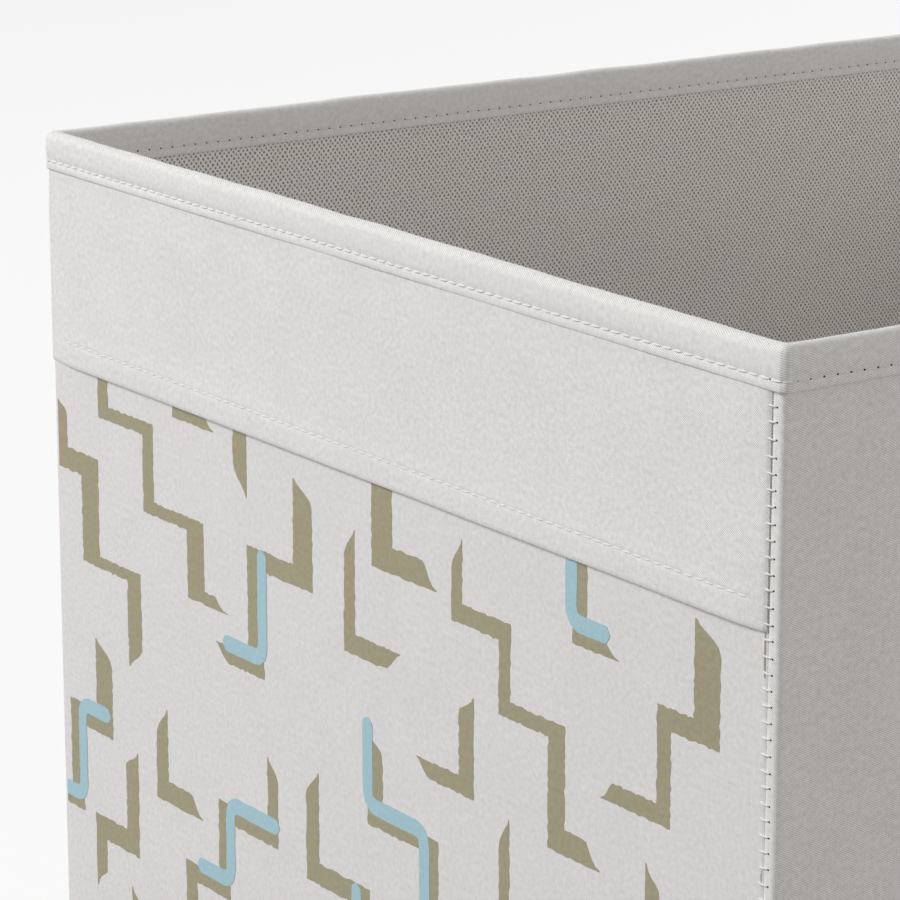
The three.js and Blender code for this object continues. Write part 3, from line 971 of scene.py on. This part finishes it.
# %% Ribbons of ink
def olive_outline(points, widths, draw):
    """Left and right edges of a stepped stroke with rough edges and short, slanted tips."""
    ways, sides = [], []
    for (x0, z0), (x1, z1) in zip(points, points[1:]):
        size = math.hypot(x1 - x0, z1 - z0)
        ways.append(((x1 - x0) / size, (z1 - z0) / size))
    for k, (x, z) in enumerate(points):
        left = [0.0, 0.0]
        for j in (k - 1, k):
            if 0 <= j < len(ways):
                left[0] -= ways[j][1] * widths[j] * 0.5
                left[1] += ways[j][0] * widths[j] * 0.5
        sides.append(((x + left[0], z + left[1]), (x - left[0], z - left[1])))
    tips = (draw.choice((1, -1)), draw.choice((1, -1)))
    rows = []
    for k, way in enumerate(ways):
        (l0, r0), (l1, r1) = sides[k], sides[k + 1]
        count = max(4, int(math.hypot(l1[0] - l0[0], l1[1] - l0[1]) / (1.2 * MM)))
        for i in range(count + (k == len(ways) - 1)):
            t = i / count
            row = [
                (a[0] + (b[0] - a[0]) * t, a[1] + (b[1] - a[1]) * t) for a, b in ((l0, l1), (r0, r1))
            ]
            thin, lean = 0.0, 1
            if k == 0:
                thin, lean = 1 - smooth(t * count / 5), tips[0]
            elif k == len(ways) - 1:
                thin, lean = 1 - smooth((1 - t) * count / 5), tips[1]
            keep, move = (0, 1) if lean > 0 else (1, 0)
            row[move] = tuple(m + (f - m) * 0.93 * thin for m, f in zip(row[move], row[keep]))
            if i:
                for j, sign in ((0, 1), (1, -1)):
                    rough = draw.uniform(-0.3, 0.3) * MM * (1 - thin)
                    row[j] = (row[j][0] - way[1] * sign * rough, row[j][1] + way[0] * sign * rough)
            rows.append(row)
    return rows


def blue_outline(points, draw, width=4.6 * MM, radius=4.5 * MM):
    """Edges of an even line with round corners and ends."""
    centre = []
    for k, (x, z) in enumerate(points):
        if k in (0, len(points) - 1):
            centre.append((x, z))
            continue
        (ax, az), (bx, bz) = points[k - 1], points[k + 1]
        a, b = math.hypot(ax - x, az - z), math.hypot(bx - x, bz - z)
        r = min(radius, a / 2, b / 2)
        p = (x + (ax - x) * r / a, z + (az - z) * r / a)
        q = (x + (bx - x) * r / b, z + (bz - z) * r / b)
        for t in np.linspace(0, 1, 8):
            u = 1 - t
            corner = zip(p, (x, z), q)
            centre.append(tuple(u * u * f + 2 * u * t * g + t * t * h for f, g, h in corner))
    fine = sample(centre, 1.2 * MM, 1)
    total = [0.0]
    for (x0, z0), (x1, z1) in zip(fine, fine[1:]):
        total.append(total[-1] + math.hypot(x1 - x0, z1 - z0))
    rows = []
    for k, (x, z) in enumerate(fine):
        (ax, az), (bx, bz) = fine[max(k - 1, 0)], fine[min(k + 1, len(fine) - 1)]
        size = math.hypot(bx - ax, bz - az) or 1.0
        nx, nz = -(bz - az) / size, (bx - ax) / size
        cap = min(total[k], total[-1] - total[k], width / 2)
        w = math.sqrt(max(width ** 2 / 4 - (width / 2 - cap) ** 2, (0.3 * MM) ** 2))
        w += draw.uniform(-0.1, 0.1) * MM
        rows.append([(x + nx * w, z + nz * w), (x - nx * w, z - nz * w)])
    return rows


def ink_piece(name, side, strokes, material, lift):
    """All strokes of one colour on one wall, laid on the cloth and cut at its edges."""
    half = SIDES[side][1]
    low, high = (-half + 2.2 * MM, wall_z + 0.6 * MM), (half - SEAM - 0.7 * MM, band_z + 12 * MM)
    points, faces, uv = [], [], []
    for rows in strokes:
        first, flat = len(points), []
        for left, right in rows:
            for t in (0, 0.5, 1):
                x, z = left[0] + (right[0] - left[0]) * t, left[1] + (right[1] - left[1]) * t
                x, z = min(max(x, low[0]), high[0]), min(max(z, low[1]), high[1])
                points.append(skin(side, ("line", 0, x), z, lift))
                uv.append((x + half, z))
                flat.append((x, z))
        for k in range(len(rows) - 1):
            for i in (0, 1):
                a = 3 * k + i
                quad = (a, a + 3, a + 4, a + 1)
                ring = [flat[q] for q in quad]
                area = sum(c[0] * d[1] - d[0] * c[1] for c, d in zip(ring, ring[1:] + ring[:1]))
                if abs(area) > 1e-9:
                    faces.append(tuple(first + q for q in (quad if area > 0 else quad[::-1])))
    piece = new_piece(name, points, faces, material, uv)
    finish_mesh(piece, [("SOLIDIFY", {"thickness": 0.04 * MM, "offset": -1.0})])
    only(piece)
    bpy.ops.object.mode_set(mode="EDIT")
    bpy.ops.mesh.select_all(action="SELECT")
    bpy.ops.mesh.delete_loose()
    bpy.ops.object.mode_set(mode="OBJECT")
    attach(piece, side + "_wall")
    return piece


for side, seed in (("front", 21), ("rear", 34)):
    draw = random.Random(seed)
    half = SIDES[side][1]
    lines = layout(half, wall_z, band_z, draw)
    olive = [olive_outline(points, widths, draw) for points, widths, _ in lines]
    blue = [blue_outline(extra, draw) for _, _, extra in lines if extra]
    a = ink_piece(side + "_olive_lines", side, olive, olive_ink, INK_LIFT)
    b = ink_piece(side + "_blue_lines", side, blue, blue_ink, INK_LIFT * 1.8)
    faces_made = len(a.data.polygons) + len(b.data.polygons)
    print(side, len(olive), "olive strokes,", len(blue), "blue lines,", faces_made, "faces")

# %% [markdown]
# ## Floor
# The floor is a board between the plain cloth underneath and the lining on top. Both cloths are
# turned over the board's edge, so each is made as a shallow tray.

# %% Floor cloths
floor_lo, floor_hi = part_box("base_outer_fabric")


def tray(name, face_z, lip, material, up, soft):
    """A sheet over the floor with its border turned towards the board."""
    x0, x1, y0, y1 = floor_lo[0], floor_hi[0], floor_lo[1], floor_hi[1]
    sign = 1 if up else -1
    xs = [x0, x0 + 0.1 * MM, x0 + 0.4 * MM, x0 + 1.0 * MM] + list(steps(x0 + 5 * MM, x1 - 5 * MM, 8 * MM))
    xs += [x1 - 1.0 * MM, x1 - 0.4 * MM, x1 - 0.1 * MM, x1]
    ys = [y0, y0 + 0.1 * MM, y0 + 0.4 * MM, y0 + 1.0 * MM] + list(steps(y0 + 5 * MM, y1 - 5 * MM, 8 * MM))
    ys += [y1 - 1.0 * MM, y1 - 0.4 * MM, y1 - 0.1 * MM, y1]
    grid = []
    for y in ys:
        grid.append([])
        for x in xs:
            edge = min(x - x0, x1 - x, y - y0, y1 - y)
            fall = lip * (1 - math.sqrt(max(0.0, 1 - (1 - min(edge / (1.0 * MM), 1.0)) ** 2)))
            rise = (wave((x, y, face_z), 0.06, soft) - soft) * smooth(edge / 0.03)
            grid[-1].append(Vector((x, y, face_z + sign * (rise - fall))))
    piece = grid_sheet(name, grid, material, flip=not up, heights=[y - y0 for y in ys])
    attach(piece, "base")
    return piece


floor_lining = tray("floor_lining_cloth", 5.0 * MM, 0.5 * MM, lining_cloth, True, 0.12 * MM)
declare(["base_lining"])
underside = tray("underside_cloth", 0.0, 0.3 * MM, plain_cloth, False, 0.05 * MM)
declare(["base_outer_fabric"])
print("floor", [round(v * 1000) for v in underside["cut"]], "mm")

# %% Bottom edge of the unzipped wall
half = SIDES["right"][1]
under_profile = [(4.5, 0.06), (3.0, 0.05), (1.6, 0.05), (0.9, 0.10), (0.4, 0.30), (0.1, 0.65), (0.0, 1.1)]
reach = half - 1.0 * MM
under_row = steps(-reach, reach, 8 * MM)
grid = [[to_frame("right", s, u * MM, z * MM) for s in under_row] for u, z in under_profile]
under_edge = grid_sheet("right_bottom_edge", grid, plain_cloth, 0.4 * MM)
declare()
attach(under_edge, "right_wall")

# %% Stitches round the floor
inset = 4.5 * MM
x0, x1, y0, y1 = floor_lo[0] + inset, floor_hi[0] - inset, floor_lo[1] + inset, floor_hi[1] - inset
rounds = [Vector((x1, y0, 0)), Vector((x0, y0, 0)), Vector((x0, y1, 0)), Vector((x1, y1, 0))]
for name, z, up in (("top", 4.95 * MM, 1), ("under", 0.24 * MM, -1)):
    places = []
    for a, b in zip(rounds, rounds[1:]):
        count = int((b - a).length / STITCH)
        way, out = (b - a).normalized(), Vector((0, 0, up))
        for k in range(count):
            places.append((a.lerp(b, (k + 0.5) / count) + Vector((0, 0, z)), way, out))
    run = copies(f"floor_{name}_stitches", places, STITCH_POINTS, STITCH_FACES, thread)
    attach(run, "base")
    print(run.name, len(places))

# %% [markdown]
# ## Zip
# Three sides of the floor zip to the walls. Each half of the zip is a coil of plastic thread
# sewn to a woven tape. The coil is made as a real flattened helix, one short tube along a path
# that turns round the corners.

# %% Wall tapes and coils
zip_stop_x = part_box("zip_start_stop")[0][0]
PITCH = 1.45 * MM


def coil(name, centre_at, total, phase, material):
    """A flattened helix. centre_at(distance) gives (centre, way in), towards the other half."""
    per_turn, ring = 8, 4
    count = int(total / PITCH) * per_turn
    spine = []
    for k in range(count + 1):
        d = k * total / count
        at, way_in = centre_at(d)
        angle = 2 * math.pi * (k / per_turn + phase)
        rise = Vector((0, 0, 0.48 * MM * math.sin(angle)))
        spine.append(at + way_in * (1.05 * MM * math.cos(angle)) + rise)
    points = []
    for k, p in enumerate(spine):
        way = (spine[min(k + 1, count)] - spine[max(k - 1, 0)]).normalized()
        side_way = way.cross(Vector((0, 0, 1)))
        side_way = side_way.normalized() if side_way.length > 1e-6 else Vector((1, 0, 0))
        up_way = side_way.cross(way)
        for i in range(ring):
            turn = 2 * math.pi * i / ring
            points.append(p + (side_way * math.cos(turn) + up_way * math.sin(turn)) * 0.24 * MM)
    faces = []
    for k in range(count):
        for i in range(ring):
            a, b = k * ring + i, k * ring + (i + 1) % ring
            faces.append((a, a + ring, b + ring, b))
    faces += [tuple(range(ring)), tuple(count * ring + i for i in reversed(range(ring)))]
    piece = new_piece(name, points, faces, material)
    finish_mesh(piece, angle=60)
    return piece


def walker(points):
    """A function giving the place and the direction at a distance along a row of points."""
    total = lengths(points)

    def at(d):
        i = min(max(int(np.searchsorted(total, d)), 1), len(points) - 1)
        t = (d - total[i - 1]) / max(total[i] - total[i - 1], 1e-9)
        way = (points[i] - points[i - 1]).normalized()
        return points[i - 1].lerp(points[i], min(max(t, 0), 1)), way
    return at, total[-1]


# From the top of the tape, down inside the wall and out towards the coil: (depth, height) in mm.
tape_profile = [(1.3, 15.0), (1.3, 10.0), (1.3, 5.0), (1.32, 3.6), (1.45, 2.8), (1.75, 2.25)]
tape_profile += [(2.3, 2.05), (3.2, 2.0), (4.2, 2.0)]
for side in ("front", "rear", "left"):
    half = SIDES[side][1]
    left_end = "mitre" if side == "rear" else [CORNER, 7.2 * MM, 6.4 * MM, 5.8 * MM]
    row = stations(half, left_end, [CORNER], 8 * MM)
    if side == "front":
        row.append(("line", 0, half - 1.6 * MM))
    grid = [[path(side, st, u * MM, z * MM) for st in row] for u, z in reversed(tape_profile)]
    tape = grid_sheet(side + "_tape", grid, tape_cloth, 0.5 * MM)
    declare([side + "_zip_tape"])
    carry(tape, side)
    middle_u = 5.0 * MM
    line_row = [st for st in row if st[0] != "line" or abs(st[2]) <= half]
    line = [path(side, st, middle_u, 2.3 * MM) for st in line_row]
    if side == "front":
        line = [p for p in line if p.x < zip_stop_x] + [Vector((zip_stop_x, line[-1].y, 2.3 * MM))]
    if side == "rear":
        line = [Vector((zip_stop_x, line[-1].y, 2.3 * MM))] + [p for p in line if p.x < zip_stop_x]
    at, total = walker(line)

    def centre_at(d, at=at):
        p, way = at(d)
        return p, Vector((-way.y, way.x, 0))
    piece = coil(side + "_coil", centre_at, total, 0.0, coil_plastic)
    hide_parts(side + "_zip_coil")
    carry(piece, side)
    print(side, "zip", round(total * 1000), "mm,", len(piece.data.polygons), "faces")

# %% Floor tape and coil
def floor_loop(inset, radius, start_x):
    """Points round three sides of the floor, inset from the walls' outer faces."""
    x0, y0 = -outer_x + inset, -outer_y + inset
    points = [Vector((start_x, y0, 0))]
    for k, (cx, cy) in enumerate(((x0 + radius, y0 + radius), (x0 + radius, -y0 - radius))):
        for a in np.linspace(0, math.pi / 2, 7):
            angle = -math.pi / 2 - a - k * math.pi / 2
            points.append(Vector((cx + radius * math.cos(angle), cy + radius * math.sin(angle), 0)))
    points.append(Vector((start_x, -y0, 0)))
    fine = []
    for a, b in zip(points, points[1:]):
        n = max(1, int((b - a).length / (8 * MM)))
        fine += [a.lerp(b, k / n) for k in range(n)]
    return fine + [points[-1]]


tape_rows = []
for inset, z in ((14.2, 2.62), (12.0, 2.6), (10.0, 2.55), (8.3, 2.5)):
    loop = floor_loop(inset * MM, max(14.5 - inset, 1.0) * MM, 0.159)
    tape_rows.append([Vector((p.x, p.y, z * MM)) for p in loop])
tape_rows = [[walker(r)[0](walker(r)[1] * k / 160)[0] for k in range(161)] for r in tape_rows]
floor_tape = grid_sheet("floor_tape", tape_rows, tape_cloth, 0.45 * MM)
declare(["base_zip_tape"])
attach(floor_tape, "base")
line = [Vector((p.x, p.y, 2.3 * MM)) for p in floor_loop(7.15 * MM, 2.4 * MM, zip_stop_x)]
at, total = walker(line)


def floor_centre_at(d):
    p, way = at(d)
    return p, Vector((way.y, -way.x, 0))


piece = coil("floor_coil", floor_centre_at, total, 0.5, coil_plastic)
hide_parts("base_zip_coil")
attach(piece, "base")
print("floor zip", round(total * 1000), "mm,", len(piece.data.polygons), "faces")

# %% [markdown]
# ## Carried-over pieces
# The boards, the stops, the slider and its pull keep the frame's own solids and get a finish.

# %% Finishes on the frame's solids
for name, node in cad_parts.items():
    if name.endswith("_board"):
        node.data.materials[0] = board
    elif name in ("zip_start_stop", "zip_end_stop", "zip_slider", "zip_pull"):
        node.data.materials[0] = zip_metal
print("finished:", [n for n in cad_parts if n.endswith("_board") or n.startswith("zip_")])
